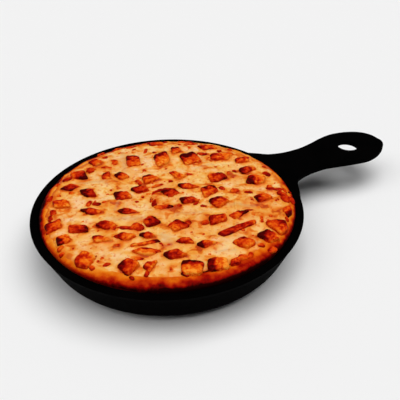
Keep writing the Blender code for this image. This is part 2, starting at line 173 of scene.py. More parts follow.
# Small bits stuck in the cheese: right, away, turn, length, width, how browned
BITS = (
    (-9, -8, 80, 9.0, 4.0, 0.75), (-9, 1, 60, 7.0, 4.5, 0.35), (-27, -39, -5, 12.0, 2.4, 0.5),
    (-47, 51, 100, 8.0, 5.0, 0.4), (-55, 59, 10, 8.0, 3.5, 0.7), (-53, 43, 0, 8.0, 2.4, 0.5),
    (-65, 38, 0, 6.0, 5.5, 0.5), (-43, 20, -20, 6.0, 2.2, 0.5), (-58, -9, 80, 7.0, 3.4, 0.5),
    (-52, -10, -15, 6.0, 4.0, 0.8), (15, 32, -5, 7.0, 3.0, 0.45), (-9, 15, 25, 9.0, 2.6, 0.45),
    (41, 12, -50, 5.5, 4.0, 0.7), (-19, -38, -35, 8.0, 6.0, 0.5), (27, 65, -5, 10.0, 4.4, 0.65),
    (78, 33, -50, 7.0, 4.0, 0.75), (-82, -20, 105, 6.0, 4.5, 0.6), (-81, -27, 95, 6.0, 5.0, 0.65),
    (82, 11, -8, 13.0, 4.0, 0.6), (-15, -71, 0, 6.0, 3.0, 0.35), (21, -9, 60, 5.0, 2.4, 0.6),
    (-23, 71, 85, 8.0, 2.6, 0.4), (1, 21, 0, 3.4, 2.6, 0.6), (51, 8, 10, 6.5, 4.6, 0.3),
    (61, 5, -10, 6.0, 3.2, 0.7), (62, -3, 0, 4.2, 3.4, 0.45), (27, -12, 0, 4.4, 2.2, 0.8),
    (9, -12, 60, 3.8, 3.0, 0.6), (33, -48, 0, 4.6, 1.6, 0.9), (-60, -60, 95, 5.0, 2.6, 0.4),
    (-35, -76, 30, 5.0, 2.6, 0.35), (-31, -57, 0, 2.8, 2.2, 0.3), (-23, -7, 20, 4.0, 3.0, 0.6),
    (78, 14, 90, 5.0, 3.6, 0.35), (-21, 37, 110, 4.0, 2.2, 0.6), (-23, 46, 20, 3.6, 2.0, 0.5),
    (65, -57, 0, 4.4, 3.2, 0.3), (52, -69, -10, 5.5, 4.0, 0.4), (57, -67, 70, 5.5, 3.0, 0.35),
    (-9, -84, 80, 5.0, 2.6, 0.55), (15, -85, -30, 5.0, 3.2, 1), (-22, -84, -35, 4.5, 2.0, 1),
    (-18, -88, -40, 3.4, 1.8, 1),
    (-88, -1, 70, 7.0, 5.0, 0.6), (-80, 25, 40, 9.0, 4.5, 0.6), (86, 4, 120, 8.0, 4.0, 0.6),
    (88, -3, 115, 8.0, 4.0, 0.5), (-36, 78, 25, 9.0, 2.6, 0.55), (66, 42, -30, 5.0, 2.0, 0.4),
    (-61, 68, 40, 6.0, 2.4, 0.5), (22, 52, -20, 6.0, 2.6, 0.5), (28, 50, 20, 5.0, 2.2, 0.6),
    (60, -17, 10, 7.0, 1.6, 0.8), (-44, 66, 0, 4.0, 2.2, 0.35), (72, -60, 35, 6.0, 4.0, 0.45),
    (-58, 66, 0, 3.4, 2.1, 0.5), (-48, 75, 31, 9.2, 2.7, 0.4), (-40, 77, 25, 4.5, 3.4, 0.7),
    (-32, 81, 21, 6.2, 3.4, 0.45), (-33, 73, 10, 3.5, 2.1, 0.5), (-21, 85, -71, 6.9, 2.8, 0.85),
    (-14, 84, 6, 10.7, 4.9, 0.3), (-7, 88, 0, 4.5, 1.6, 0.7), (-0, 86, 0, 7.2, 2.4, 0.65),
    (11, 88, 0, 12.5, 3.2, 0.42), (6, 82, 0, 2.7, 1.9, 0.5), (-15, 68, -19, 3.7, 2.1, 0.8),
    (13, 77, -37, 6.2, 3.9, 0.5), (41, 71, 0, 4.4, 3.5, 0.65), (50, 74, -30, 3.8, 2.1, 0.5),
    (47, 45, 0, 2.5, 2.1, 0.5), (37, 43, 0, 2.5, 2.1, 0.35), (48, 33, 0, 4.5, 4.9, 0.42),
    (52, 36, 0, 3.3, 4.9, 0.7), (51, 28, 34, 3.7, 2.0, 0.4), (28, 44, 0, 4.1, 1.6, 0.3),
    (31, 58, 37, 3.0, 1.5, 0.45), (77, 44, -37, 3.1, 2.0, 0.45), (-47, -8, 0, 3.0, 3.0, 0.35),
    (-44, 8, 0, 1.9, 2.1, 0.4), (-40, 14, 0, 2.3, 2.7, 0.15), (-19, -0, 0, 1.8, 2.1, 0.45),
    (-12, -6, 0, 2.0, 2.4, 0.5), (-24, 20, -53, 6.9, 3.5, 0.45), (-15, 4, 0, 3.0, 2.1, 0.2),
    (-35, -8, -66, 3.6, 1.8, 0.7), (-36, -12, 85, 4.8, 1.4, 0.5), (-1, -57, -45, 5.8, 2.2, 0.6),
    (4, -57, 16, 3.3, 1.6, 0.5), (-20, -57, 31, 4.1, 3.3, 0.45), (-44, -79, 44, 3.3, 3.7, 0.3),
    (-41, -73, 0, 1.5, 1.9, 0.4), (-43, -68, 0, 1.4, 2.1, 0.7), (-39, -70, 31, 2.6, 2.1, 0.3),
    (-36, -39, -16, 3.6, 4.0, 0.4), (16, -33, -31, 4.7, 5.1, 0.62), (28, -33, 24, 4.5, 3.4, 0.4),
    (-87, 18, 20, 3.7, 2.1, 0.55), (-74, 5, 0, 3.8, 3.0, 0.3), (-83, 2, 38, 3.1, 3.3, 0.25),
    (54, -41, -17, 2.8, 2.1, 0.4), (68, -28, -90, 7.0, 2.4, 0.3), (75, -24, 0, 2.5, 2.1, 0.4),
    (6, -80, 0, 1.2, 2.1, 0.3), (82, -4, 36, 4.2, 2.3, 0.65), (78, -7, 78, 3.4, 1.7, 0.35),
    (93, 8, -20, 2.3, 1.6, 0.8), (89, 2, -62, 7.8, 2.9, 0.45), (93, -3, -72, 8.5, 3.1, 0.5),
    (89, 9, -71, 6.8, 1.8, 0.6), (86, -27, -69, 4.8, 2.2, 0.45),
    (-8, 8, 25, 7.0, 2.8, 0.75), (0, 10, 3, 10.0, 2.6, 0.85), (-11, 4, 75, 6.0, 2.8, 0.6),
    (-12, -4, 88, 7.0, 2.8, 0.85), (7, -12, 35, 6.0, 2.6, 0.45), (16, 83, 3, 11.0, 3.0, 0.4),
    (27, 83, -20, 6.0, 2.6, 0.8), (-68, -60, 60, 4.6, 2.6, 0.3), (-66, -65, 40, 4.0, 2.2, 0.35),
    (-82, -34, 72, 7.0, 3.0, 0.7), (-80, -43, 60, 3.6, 2.2, 0.55),
)

# Creases where the cheese pulled: from, to, half width, and how far each is raised
CREASES = (
    (-43, 66, -39, 50, 2.2, 0.5), (-39, 50, -37, 37, 2.0, 0.4), (-72, 19, -50, 21, 1.6, 0.3),
    (-35, -4, -37, -18, 1.2, 0.3), (-40, -28, -16, -29, 2.6, 0.35), (46, -10, 64, -11, 2.0, 0.4),
    (34, -62, 47, -62, 1.3, 0.3), (0, -46, 4, -55, 4.0, 0.3), (-62, 22, -48, 17, 1.2, 0.2),
    (20, 42, 34, 47, 1.5, 0.3), (50, -48, 74, -58, 1.4, 0.3), (8, -22, 26, -19, 1.6, 0.25),
)

# Camera, fitted to the pan's outline in the photograph
PHOTO_WIDTH = 400.0
FOCAL_PIXELS = 523.0
SENSOR_WIDTH = 36.0
CAMERA_ELEVATION = 34.62
CAMERA_DISTANCE = 455.7
CAMERA_TARGET = (24.2, 48.9, 0.0)

# Lamps: tilt from overhead, bearing, the angle that each fills, and its strength. The world's
# weaker light reaches the shadows.
OVERHEAD_LAMP = (15.0, 0.0, 60.0, 2.18)
FRONT_LAMP = (35.0, 205.0, 50.0, 0.95)
FILL_STRENGTH = 0.11

LATTICE_SIDE = 32
LATTICE = np.random.default_rng(3).random((LATTICE_SIDE,) * 3)


def smoothstep(low, high, x):
    """0 below low, 1 above high, and 3t^2 - 2t^3 between them."""
    t = np.clip((x - low) / (high - low), 0.0, 1.0)
    return t * t * (3.0 - 2.0 * t)


def value_noise(x, y, z):
    """Smooth noise from 0 to 1, one swell per unit: eight lattice values blended by smoothstep."""
    coords = np.broadcast_arrays(x, y, z)
    cells = [np.floor(c).astype(int) for c in coords]
    shares = [smoothstep(0.0, 1.0, c - cell) for c, cell in zip(coords, cells)]
    total = np.zeros(coords[0].shape)
    for corner in np.ndindex(2, 2, 2):
        weight = np.ones(coords[0].shape)
        for step, share in zip(corner, shares):
            weight = weight * (share if step else 1.0 - share)
        index = tuple((cell + step) % LATTICE_SIDE for cell, step in zip(cells, corner))
        total += weight * LATTICE[index]
    return total


def rough(points, size, octaves=3, shift=0.0):
    """Noise from -1 to 1 with swells of this size in mm, each octave half as large and strong."""
    total = 0.0
    reach = 0.0
    for octave in range(octaves):
        scale = 2.0**octave / size
        x, y, z = np.moveaxis(points * scale + shift + 7.3 * octave, -1, 0)
        strength = 0.5**octave
        total = total + strength * (2.0 * value_noise(x, y, z) - 1.0)
        reach += strength
    return total / reach * 1.6


def arc(middle, radius, start, end, steps):
    """Points (radius, height) on a circular arc from one angle to another, in degrees."""
    angles = np.radians(np.linspace(start, end, steps))
    return np.stack([middle[0] + radius * np.cos(angles), middle[1] + radius * np.sin(angles)], 1)


def smooth_through(points, steps):
    """Catmull-Rom curve through the points, without its first and last stretch."""
    p = np.array(points, float)
    t = np.linspace(0.0, 1.0, steps, endpoint=False)[:, None]
    spans = []
    for before, start, end, after in zip(p[:-3], p[1:-2], p[2:-1], p[3:]):
        spans.append(
            0.5 * (2 * start + (end - before) * t
                   + (2 * before - 5 * start + 4 * end - after) * t**2
                   + (3 * start - before - 3 * end + after) * t**3)
        )
    return np.concatenate(spans + [p[-2:-1]])


def skin_faces(rows, columns, first):
    """Quads between rows that wrap round, and triangles from a pole to each end row."""
    row, column = np.meshgrid(np.arange(rows - 1), np.arange(columns), indexing="ij")
    beside = (column + 1) % columns
    a = first + row * columns + column
    b = first + row * columns + beside
    quads = np.stack([a, b, b + columns, a + columns], -1).reshape(-1, 4)
    low_pole = first + rows * columns
    start = first + np.arange(columns)
    after = first + (np.arange(columns) + 1) % columns
    last = (rows - 1) * columns
    low = np.stack([np.full(columns, low_pole), after, start], -1)
    high = np.stack([np.full(columns, low_pole + 1), start + last, after + last], -1)
    return quads, np.concatenate([low, high])


def closed_skin(name, grids, attributes=()):
    """One mesh from arrays of rows x columns x 3 in mm, each closed with a pole at both ends.

    attributes maps a name to one array of rows x columns for each grid.
    """
    points, faces = [], []
    first = 0
    for grid in grids:
        rows, columns = grid.shape[:2]
        poles = np.stack([grid[0].mean(0), grid[-1].mean(0)])
        skin = np.concatenate([grid.reshape(-1, 3), poles])
        quads, triangles = skin_faces(rows, columns, 0)
        a, b, c = (skin[quads[:, i]] for i in range(3))
        outward = np.einsum("ij,ij->", np.cross(b - a, c - a), a - skin.mean(0))
        if outward < 0:
            quads, triangles = quads[:, ::-1], triangles[:, ::-1]
        points.append(skin)
        faces += (quads + first).tolist() + (triangles + first).tolist()
        first += len(skin)
    mesh = bpy.data.meshes.new(name)
    mesh.from_pydata(np.concatenate(points) * MM, [], faces)
    mesh.shade_smooth()
    for key, values in dict(attributes).items():
        flat = [np.append(v.ravel(), [v[0].mean(), v[-1].mean()]) for v in values]
        layer = mesh.attributes.new(key, "FLOAT", "POINT")
        layer.data.foreach_set("value", np.concatenate(flat).astype(np.float32))
    obj = bpy.data.objects.new(name, mesh)
    bpy.context.scene.collection.objects.link(obj)
    return obj


def turned(profile, columns):
    """A profile of (radius, height) rows carried round Z."""
    angles = np.linspace(0.0, 2.0 * math.pi, columns, endpoint=False)
    radius, height = np.array(profile, float).T[:, :, None]
    flat = np.ones(columns)
    return np.stack([radius * np.cos(angles), radius * np.sin(angles), height * flat], -1)


def dress(obj, material, slot, *nodes):
    """Gives a finished piece its material, and puts it on the frame for these nodes; slot is not
    used.
    """
    obj.data.materials.append(material)
    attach(obj, "root")
    if nodes:
        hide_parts(*nodes)
    return obj


# Pan

def wall_profile(rim_radius, rim_height, floor_height, corner, steps):
    """Points up from the floor: round the corner's arc, then up the leaning wall."""
    foot = rim_radius - (rim_height - floor_height) * math.tan(WALL_LEAN)
    sweep = 90.0 - math.degrees(WALL_LEAN)
    middle = foot - corner * math.tan(math.radians(sweep / 2))
    bend = arc((middle, floor_height + corner), corner, -90.0, sweep - 90.0, steps)
    top = np.array([[rim_radius, rim_height]])
    climb = np.linspace(bend[-1], top[0], 6)[1:]
    return np.concatenate([[[middle * 0.5, floor_height]], bend, climb])


def pan_body_surface():
    """The cast bowl: foot, outer corner and wall, a rim with rounded edges, and down the inside."""
    lean = math.tan(WALL_LEAN)
    edge_height = PAN_HEIGHT - RIM_EDGE
    outer_radius = RIM_RADIUS - RIM_EDGE * lean
    inner_rim = RIM_RADIUS - RIM_THICKNESS
    outside = wall_profile(outer_radius, edge_height, 0.0, OUTER_CORNER, 14)
    outer_edge = arc((outer_radius - RIM_EDGE + 0.3, edge_height), RIM_EDGE, 0.0, 90.0, 7)
    inner_edge = arc((inner_rim + RIM_EDGE, edge_height), RIM_EDGE, 90.0, 180.0, 7)
    inner_radius = inner_rim - RIM_EDGE * lean
    inside = wall_profile(inner_radius, edge_height, FLOOR_THICKNESS, INNER_CORNER, 10)[::-1]
    return turned(np.concatenate([outside, outer_edge, inner_edge, inside]), 256)


def handle_surface():
    """A plate lofted along the handle: at each point of the outline a rounded rectangle.

    The section is four quarter arcs of the edge radius, set at the corners of width x thickness.
    The root follows a circle inside the pan's wall, and the last rows thin out round the tip.
    """
    distance, back, front = smooth_through(HANDLE_OUTLINE, 10).T
    half_width = np.maximum((back + front) / 2, TIP_HALF_WIDTH)
    edge = np.minimum(HANDLE_EDGE, half_width)
    to_tip = np.clip(distance.max() - distance, 0.0, HANDLE_EDGE)
    thin = HANDLE_EDGE - np.sqrt(HANDLE_EDGE**2 - (HANDLE_EDGE - to_tip) ** 2)
    half_thickness = HANDLE_THICKNESS / 2 - thin
    quarters = [np.linspace(q, q + 90.0, 7) for q in (0.0, 90.0, 180.0, 270.0)]
    angles = np.radians(np.concatenate(quarters))
    side = np.repeat([1.0, -1.0, -1.0, 1.0], 7)
    upper = np.repeat([1.0, 1.0, -1.0, -1.0], 7)
    across = side * (half_width - edge)[:, None] + edge[:, None] * np.cos(angles)
    across = across + ((back - front) / 2)[:, None]
    upright = upper * (half_thickness - edge)[:, None] + edge[:, None] * np.sin(angles)
    root = np.sqrt(np.maximum(HANDLE_ROOT**2 - across**2, 0.0))
    along = np.maximum(distance[:, None], root)
    height = PAN_HEIGHT - HANDLE_BELOW_RIM - HANDLE_THICKNESS / 2
    bearing = math.radians(HANDLE_BEARING)
    x = along * math.cos(bearing) - across * math.sin(bearing)
    y = along * math.sin(bearing) + across * math.cos(bearing)
    return np.stack([x, y, height + upright], -1)


def hole_cutter_surface():
    """A round cutter that flares at both faces, so that the hole's edges come out rounded."""
    half = HANDLE_THICKNESS / 2
    height = np.concatenate([[-half - 2.0], np.linspace(-half, half, 21), [half + 2.0]])
    depth = np.clip(np.abs(height) - (half - HANDLE_EDGE), 0.0, HANDLE_EDGE)
    flare = HANDLE_EDGE - np.sqrt(np.maximum(HANDLE_EDGE**2 - depth**2, 0.0))
    middle = PAN_HEIGHT - HANDLE_BELOW_RIM - half
    grid = turned(np.stack([HOLE_RADIUS + flare, middle + height], 1), 64)
    bearing = math.radians(HANDLE_BEARING)
    grid[..., 0] += HOLE_DISTANCE * math.cos(bearing)
    grid[..., 1] += HOLE_DISTANCE * math.sin(bearing)
    return grid


def pierced(obj, cutter):
    """Cuts the cutter out of the piece and applies the cut."""
    cut = obj.modifiers.new("Hole", "BOOLEAN")
    cut.operation = "DIFFERENCE"
    cut.object = cutter
    graph = bpy.context.evaluated_depsgraph_get()
    mesh = bpy.data.meshes.new_from_object(obj.evaluated_get(graph))
    obj.modifiers.clear()
    obj.data = mesh
    bpy.data.objects.remove(cutter, do_unlink=True)
    normals = obj.modifiers.new("Even shading", "WEIGHTED_NORMAL")
    normals.keep_sharp = True
    return obj


# Chicken

# A rounded piece falls short of its block's corners, so that it is drawn this much wider in plan
PLAN_SPREAD = (1.13, 1.13, 1.0)


def block_corners(corners, bottom, top):
    """The eight corners, by right, away and up, of a block over an outline read clockwise."""
    left_back, right_back, right_front, left_front = np.array(corners, float)
    plan = np.array([[left_front, left_back], [right_front, right_back]])
    block = np.empty((2, 2, 2, 3))
    block[..., :2] = plan[:, :, None]
    block[..., 2] = (bottom, top)
    return block


def bit_corners(x, y, turn, length, width):
    """The outline of a small bit, clockwise from its left end."""
    a = math.radians(turn)
    along = np.array([math.cos(a), math.sin(a)]) * length / 2
    across = np.array([-math.sin(a), math.cos(a)]) * width / 2
    signs = ((-1, -1), (-1, 1), (1, 1), (1, -1))
    return [np.array([x, y]) + p * along + q * across for p, q in signs]


def chunk_surface(block, look, seed, rows, columns, power, raggedness):
    """(grid, roast) of one piece of roast chicken.

    Directions (cos u cos v, cos u sin v, sin u) are drawn out to |x|^n + |y|^n + |z|^n = 1,
    placed between the block's eight corners by trilinear weights, and torn by noise. look holds
    how browned the top is, the bearing and depth of its dark side, and how strong all the
    marks are. The second value is how browned it is, plus the marks: a darkening past the
    middle towards that side, partly char and partly painted shade; a dark rim where x or y is
    near 1 that fades on the far side, partly browned edges and partly painted shade; patches,
    pits and cracks; less a lightening of the far side, partly paler meat and partly painted light.
    """
    u = np.radians(np.linspace(-88.0, 88.0, rows))[:, None]
    v = np.linspace(0.0, 2.0 * math.pi, columns, endpoint=False)[None, :]
    ways = np.stack([np.cos(u) * np.cos(v), np.cos(u) * np.sin(v), np.sin(u) + 0.0 * v], -1)
    reach = (np.abs(ways) ** power).sum(-1, keepdims=True) ** (1.0 / power)
    unit = ways / reach
    grid = np.zeros(unit.shape)
    for i, j, k in np.ndindex(2, 2, 2):
        sign = np.array([2 * i - 1, 2 * j - 1, 2 * k - 1])
        weight = np.prod((1.0 + sign * unit * PLAN_SPREAD) / 2.0, axis=-1, keepdims=True)
        grid += weight * block[i, j, k]
    middle = block.mean((0, 1, 2))
    offset = grid - middle
    out = offset / np.linalg.norm(offset, axis=-1, keepdims=True)
    shift = 13.7 * seed
    tear = 0.7 * rough(grid, 5.0, 2, shift) + 0.35 * rough(grid, 2.0, 2, shift + 3.0)
    pits = smoothstep(0.2, 0.8, rough(grid, 2.4, 2, shift + 9.0))
    grid = grid + out * (raggedness * (tear - 0.6 * pits))[..., None]

    browned, bearing, depth, contrast = look
    dark_way = np.array([math.cos(math.radians(bearing)), math.sin(math.radians(bearing))])
    outward = np.abs(unit[..., :2]).max(-1)
    # The dark rim round the sides: browned edges, and painted shade.
    rim = smoothstep(0.62, 0.98, outward + 0.16 * rough(grid, 2.4, 2, shift + 5.0))
    span = 0.85 * np.abs(offset[..., :2] @ dark_way).max()
    towards = (offset[..., :2] @ dark_way) / span
    # Darker past the middle towards the bearing: char, and painted shade.
    char_and_shade = smoothstep(-0.05, 0.65, towards + 0.30 * rough(grid, 3.4, 2, shift + 30.0))
    patch = rough(grid, 3.4, 2, shift + 20.0)
    crack = smoothstep(0.72, 0.98, 1.0 - np.abs(rough(grid, 4.2, 2, shift + 40.0)))
    rim = rim * (0.3 + 0.7 * smoothstep(-0.7, 0.3, towards))
    marks = 0.60 * depth * char_and_shade + (0.14 + 0.16 * patch) * rim + 0.13 * patch + 0.18 * pits
    # Lighter on the far side: paler meat, and painted light.
    marks = marks + 0.16 * crack - 0.20 * smoothstep(0.35, 1.0, -towards)
    return grid, 0.07 + 0.66 * browned + contrast * marks


# Crust and cheese

def distance_to_line(start, end, x, y):
    """Distance in plan to a straight stretch between two points."""
    ax, ay = start
    along = (end[0] - ax, end[1] - ay)
    share = ((x - ax) * along[0] + (y - ay) * along[1]) / (along[0] ** 2 + along[1] ** 2)
    share = np.clip(share, 0.0, 1.0)
    return np.hypot(x - ax - share * along[0], y - ay - share * along[1])


def distance_to(outline, x, y):
    """Distance in plan to a clockwise outline of four corners, less than 0 inside it."""
    nearest = np.full(x.shape, 99.0)
    inside = np.ones(x.shape, bool)
    for start, end in zip(outline, (*outline[1:], outline[0])):
        nearest = np.minimum(nearest, distance_to_line(start, end, x, y))
        turn = (end[0] - start[0]) * (y - start[1]) - (end[1] - start[1]) * (x - start[0])
        inside &= turn < 0.0
    return np.where(inside, -nearest, nearest)


def distance_to_pieces(x, y):
    """Distances to the nearest large piece and to the nearest bit."""
    pieces = np.full(x.shape, 99.0)
    for *corners, _, _, _ in PIECES:
        pieces = np.minimum(pieces, distance_to(corners, x, y))
    bits = np.full(x.shape, 99.0)
    for *place, _ in BITS:
        bits = np.minimum(bits, distance_to(bit_corners(*place), x, y))
    return pieces, bits


def facing(bearing, middle, low, high):
    """Smoothstep of the cosine of the angle to a bearing: 1 round it and 0 away from it."""
    return smoothstep(low, high, np.cos(bearing - math.radians(middle)))


def crust_height(radius, bearing):
    """A quarter ellipse from the crest to the pan's wall, lower at the back and at the left."""
    over = np.clip((radius - (CRUST_RADIUS - CRUST_ROUND)) / CRUST_ROUND, 0.0, 0.995)
    dip = facing(bearing, 130.0, 0.0, 0.7)
    edge = CRUST_EDGE_HEIGHT - EDGE_DIP * dip
    return edge + (CRUST_TOP - BACK_DIP * dip - edge) * np.sqrt(1.0 - over**2)


def cheese_base(x, y):
    """The solid's own surface: a low dome with slow swells that fade towards the edge."""
    share = np.minimum(np.hypot(x, y) / CHEESE_RADIUS, 1.0) ** 4
    swell = np.sin(x / 9.0 + 0.7) * np.cos(y / 11.0 - 0.4) + 0.6 * np.sin((x - y) / 6.5)
    return CHEESE_EDGE + (CHEESE_TOP - CHEESE_EDGE + CHEESE_RELIEF * swell) * (1.0 - share)


def crust_surface():
    """(grid, bake): the dough's bed under the cheese, its uneven lip, and down the pan's wall.

    The lip is the quarter ellipse plus noise, and no point goes past the pan's wall. The bake,
    with its painted shade, climbs by smoothsteps of the radius, from the lip's crest to where the
    dough touches the iron; its last climb there is partly burnt dough and partly painted shade
    where the crust meets the iron. Near the wall at the back left and the right it is darker,
    partly darker bake and partly painted shade under the rim.
    It is darker at the front, the back left and the right, and paler at the back right and the
    front left, as the photograph shows. Mottling fades out towards the iron.
    """
    bed = np.array([[20.0, 32.0], [60.0, 32.0], [80.0, 32.5], [85.0, 33.6]])
    radius = np.concatenate([np.linspace(86.5, CRUST_RADIUS - 0.5, 26), [CRUST_RADIUS]])
    lip = np.stack([radius, crust_height(radius, AT_FRONT)], 1)
    lip[:2, 1] -= (0.8, 0.25)
    top = CRUST_EDGE_HEIGHT - 3.0
    lean = math.tan(WALL_LEAN)
    wall_top = RIM_RADIUS - RIM_THICKNESS - (PAN_HEIGHT - top) * lean - CRUST_GAP
    wall = wall_profile(wall_top, top, FLOOR_THICKNESS + CRUST_GAP, INNER_CORNER, 8)[::-1]
    grid = turned(np.concatenate([bed, lip, wall]), 420)
    radius = np.hypot(grid[..., 0], grid[..., 1])
    shown = smoothstep(29.0, 32.5, grid[..., 2]) * smoothstep(84.0, 88.0, radius)
    lump = 0.55 * rough(grid, 14.0, 2) + 0.30 * rough(grid, 4.0, 3, 5.0)
    bubble = smoothstep(0.35, 0.9, rough(grid, 5.0, 1, 40.0))
    bearing = np.arctan2(grid[..., 1], grid[..., 0])
    dip = crust_height(radius, AT_FRONT) - crust_height(radius, bearing)
    grid[..., 2] += shown * (lump * 0.7 + 0.5 * bubble - 0.25 - dip)
    height = grid[..., 2]
    wall_radius = RIM_RADIUS - RIM_THICKNESS - (PAN_HEIGHT - height) * lean - CRUST_GAP
    grid[..., :2] *= np.minimum(1.0, np.maximum(wall_radius, 1.0) / radius)[..., None]

    reach = radius + 1.2 * rough(grid, 9.0, 2, 11.0)
    front = facing(bearing, -76.0, 0.55, 0.95)
    bake_and_shade = 0.20 + 0.18 * front + 0.16 * facing(bearing, -68.0, 0.85, 0.97)
    bake_and_shade = bake_and_shade + (0.20 + 0.03 * front) * smoothstep(88.0, 93.5, reach)
    # Back left, near the wall: darker bake, and painted shade under the rim.
    bake_and_shade = bake_and_shade + 0.60 * facing(bearing, 150.0, 0.3, 0.8) * smoothstep(89.0, 93.5, reach)
    # Where the dough meets the iron: burnt dough, and painted shade.
    bake_and_shade = bake_and_shade + (0.28 + 0.10 * front) * smoothstep(93.7, 95.9, radius)
    # Right, near the wall: darker bake, and painted shade under the rim.
    bake_and_shade = bake_and_shade + 0.26 * facing(bearing, 0.0, 0.72, 0.92) * smoothstep(92.0, 94.6, radius)
    pale = facing(bearing, -120.0, 0.85, 0.97) * smoothstep(94.5, 92.0, radius)
    bake_and_shade = bake_and_shade - 0.14 * (facing(bearing, 55.0, 0.7, 0.97) + pale)
    mottle = 0.16 * rough(grid, 5.0, 2, 17.0) + 0.12 * rough(grid, 11.0, 1, 71.0)
    return grid, bake_and_shade + mottle * smoothstep(96.0, 93.5, radius)


def cheese_surface():
    """(grid, toast, rim, crease) of the melted cheese.

    Rows run out from the middle to an edge that wanders, and draws back at the front and a
    little at the back left. The height is the solid's dome, plus lumps, creases and blisters,
    plus a small bank that climbs each piece of chicken, and it sinks under the pieces. Past the
    crust's crest the sheet thins out over the crust, last at the front left. The toast and shade
    layer is noise at several sizes, plus a darkening that falls off by exp(-distance) from the
    chicken, partly stain and partly painted shade round the pieces, and the rim is a smoothstep
    of the distance to the sheet's edge.
    """
    columns = 560
    bearing = np.linspace(0.0, 2.0 * math.pi, columns, endpoint=False)
    ring = np.stack([np.cos(bearing), np.sin(bearing), 0.0 * bearing], -1)
    wander = 1.3 * rough(ring * 90.0, 16.0, 2, 3.0) + 0.9 * rough(ring * 90.0, 5.0, 2, 8.0)
    front = facing(bearing, -78.0, 0.55, 0.97)
    front_left = facing(bearing, -122.0, 0.78, 0.95)
    edge = CHEESE_REACH - FRONT_PULL * front - LEFT_PULL * facing(bearing, 150.0, 0.2, 0.8)
    edge = np.minimum(edge + wander, CRUST_RADIUS - 0.8)
    share = np.linspace(0.004, 1.0, 172)[:, None]
    radius = share * edge[None, :]
    x, y = radius * np.cos(bearing), radius * np.sin(bearing)
    flat = np.stack([x, y, np.zeros_like(x)], -1)
    pieces, bits = distance_to_pieces(x, y)
    near = np.clip(np.minimum(pieces, bits + 0.8), 0.0, None)
    stain_and_shade = np.clip(near + 0.8 * rough(flat, 4.5, 2, 44.0), 0.0, None)

    crease = np.zeros_like(x)
    raised = np.zeros_like(x)
    wavy_x, wavy_y = x + rough(flat, 9.0, 2, 50.0), y + rough(flat, 9.0, 2, 55.0)
    for ax, ay, bx, by, half_width, height in CREASES:
        off = distance_to_line((ax, ay), (bx, by), wavy_x, wavy_y) / half_width
        crease = np.maximum(crease, np.exp(-(off**2)))
        raised = np.maximum(raised, height * np.exp(-(off**2)))
    folds = 1.0 - np.abs(rough(flat * (1.0, 0.45, 1.0) + (9.0, 0.0, 0.0), 9.0, 2, 30.0))
    folds = smoothstep(0.72, 1.0, folds)
    blister = smoothstep(0.42, 0.85, rough(flat, 6.5, 1, 60.0))
    lumps = 0.50 * rough(flat, 13.0, 2, 1.0) + 0.20 * rough(flat, 5.0, 2, 2.0)
    bank = 0.8 * np.exp(-near / 1.3)
    sunk = 1.6 * smoothstep(0.7, 2.2, -pieces)
    soft = 0.45 + 0.55 * smoothstep(0.0, 4.0, pieces)
    top = cheese_base(x, y) + (lumps + 0.5 * blister + 0.3 * folds) * soft + raised + bank - sunk

    over = smoothstep(84.0, 90.0, radius)
    thinning = smoothstep(0.93 + 0.03 * front_left, 1.0, share)
    sheet = 0.8 - 1.5 * thinning + 0.25 * rough(flat, 4.0, 2, 6.0)
    over_crust = crust_height(radius, bearing) + sheet - sunk
    top = top * (1.0 - over) + over_crust * over
    grid = np.stack([x, y, top], -1)

    below = []
    for inward, drop in CHEESE_UNDERSIDE:
        scale = (edge - inward) / edge
        last = grid[-1]
        below.append(np.stack([last[:, 0] * scale, last[:, 1] * scale, last[:, 2] - drop], -1))
    grid = np.concatenate([grid, np.stack(below)])

    wide = flat * (0.7, 1.0, 1.0)
    blotch = smoothstep(0.1, 0.9, rough(wide, 7.0, 2, 18.0))
    spots = smoothstep(0.48, 0.80, rough(wide, 3.4, 2, 25.0))
    toast_and_shade = 0.145 + 0.12 * rough(wide, 15.0, 2, 15.0) + 0.16 * rough(wide, 4.0, 2, 70.0)
    toast_and_shade = toast_and_shade + 0.24 * blotch + 0.34 * spots - 0.10 * folds
    # Darker round the chicken: stain, and painted shade round the pieces.
    toast_and_shade = toast_and_shade + (0.50 + 0.20 * blotch) * np.exp(-stain_and_shade / 1.5) + 0.14 * np.exp(-stain_and_shade / 5.0)
    short = radius - edge + 2.2 * rough(flat, 6.0, 2, 35.0)
    rim_start = -9.5 + 4.5 * front + 3.0 * front_left
    rim_end = -1.1 + 4.0 * front + 2.5 * front_left
    rim = smoothstep(rim_start, rim_end, short)
    pad = np.ones((len(below), columns))
    return (grid, *(np.concatenate([layer, 0.5 * pad]) for layer in (toast_and_shade, rim, crease)))


# Materials

def srgb(text):
    """Linear RGBA from an sRGB hex value such as F0A050."""
    values = np.array([int(text[i:i + 2], 16) for i in (0, 2, 4)]) / 255.0
    linear = np.where(values <= 0.04045, values / 12.92, ((values + 0.055) / 1.055) ** 2.4)
    return (*linear.tolist(), 1.0)


def add(tree, kind, inputs=(), stops=(), **settings):
    """Adds a node: its settings, its colour stops, and its inputs as values or links."""
    node = tree.nodes.new(kind)
    for key, value in settings.items():
        setattr(node, key, value)
    if stops:
        elements = node.color_ramp.elements
        while len(elements) < len(stops):
            elements.new(0.5)
        for element, (place, colour) in zip(elements, stops):
            element.position = place
            element.color = srgb(colour)
    for key, value in dict(inputs).items():
        if isinstance(value, bpy.types.NodeSocket):
            tree.links.new(value, node.inputs[key])
        else:
            node.inputs[key].default_value = value
    return node


def new_material(name, **values):
    """(material, node tree, Principled shader), with these values set on the shader."""
    material = bpy.data.materials.new(name)
    material.use_nodes = True
    shader = material.node_tree.nodes["Principled BSDF"]
    for key, value in values.items():
        shader.inputs[key.replace("_", " ")].default_value = value
    return material, material.node_tree, shader


def feed(tree, shader, **sockets):
    """Links these sockets to the shader's inputs of the same names."""
    for key, socket in sockets.items():
        tree.links.new(socket, shader.inputs[key.replace("_", " ")])


